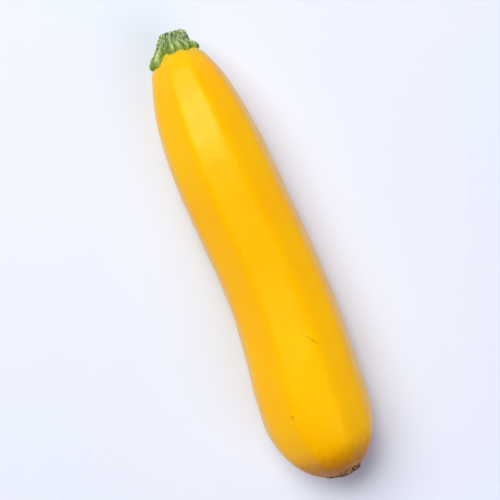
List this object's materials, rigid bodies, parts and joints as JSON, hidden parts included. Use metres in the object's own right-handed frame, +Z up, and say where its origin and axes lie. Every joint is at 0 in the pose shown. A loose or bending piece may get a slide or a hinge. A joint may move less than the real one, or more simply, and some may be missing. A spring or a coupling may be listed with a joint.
{
  "type": "courgette",
  "caption": "Yellow courgette lying on its side, with soft lengthwise ridges, a slight bend, a cut ribbed green stem stub and a corky flower scar.",
  "frame": {"origin": "middle of the bottom of the box round the courgette, on the surface it lies on", "axes": "+Y along the fruit towards its stem, +Z up from the surface, +X to the right when it is seen from above with its stem pointing away"},
  "size_m": [0.0478, 0.2008, 0.0445],
  "materials": {
    "skin": "smooth waxy yellow skin, satin to glossy",
    "stem": "dull green stem with pale bristly ribs",
    "cork": "rough brown cork"
  },
  "bodies": {
    "root": {"fruit": "skin", "stem": "stem", "flower_scar": "cork"}
  },
  "joints": []
}
